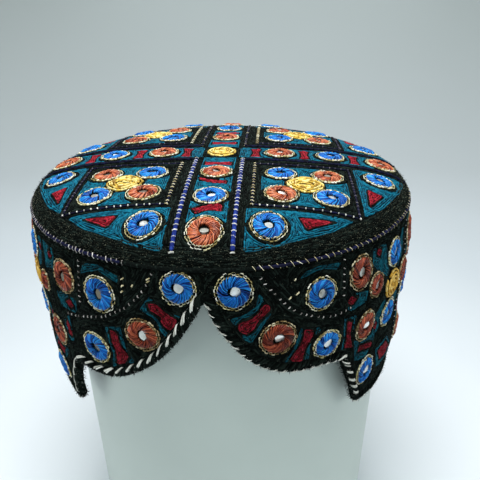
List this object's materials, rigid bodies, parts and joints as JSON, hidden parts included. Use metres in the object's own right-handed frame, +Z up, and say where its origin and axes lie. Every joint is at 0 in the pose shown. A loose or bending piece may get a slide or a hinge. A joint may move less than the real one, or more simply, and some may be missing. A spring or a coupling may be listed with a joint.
{
  "type": "sindhi cap on display stand",
  "caption": "Round embroidered cap with a domed crown, upright padded wall and pointed front notch, on a plain tapered tube stand.",
  "frame": {"origin": "centre of the part's box on the surface that the stand's foot rests on", "axes": "+Z up, -Y towards the front of the cap where the notch is, +X towards the right as seen from the front"},
  "size_m": [0.1982, 0.209, 0.212],
  "materials": {
    "crown_thread": "satin-stitched thread, teal with red, blue, orange and black, and small sewn-in mirrors",
    "band_thread": "black chain stitch, felted by wear",
    "wall_thread": "satin-stitched thread, teal and black with red, blue and rust, and small sewn-in mirrors",
    "seam_cord": "navy couched cord with pale stitches across it",
    "edge_cord": "black cord whipped with white thread",
    "stand": "smooth off-white",
    "mirror": "small hand-cut mirror glass held by stitches"
  },
  "bodies": {
    "root": {"crown_panel": "crown_thread", "crown_band": "band_thread", "side_wall": "wall_thread", "seam_cord": "seam_cord", "edge_cord": "edge_cord", "stand": "stand"}
  },
  "joints": []
}
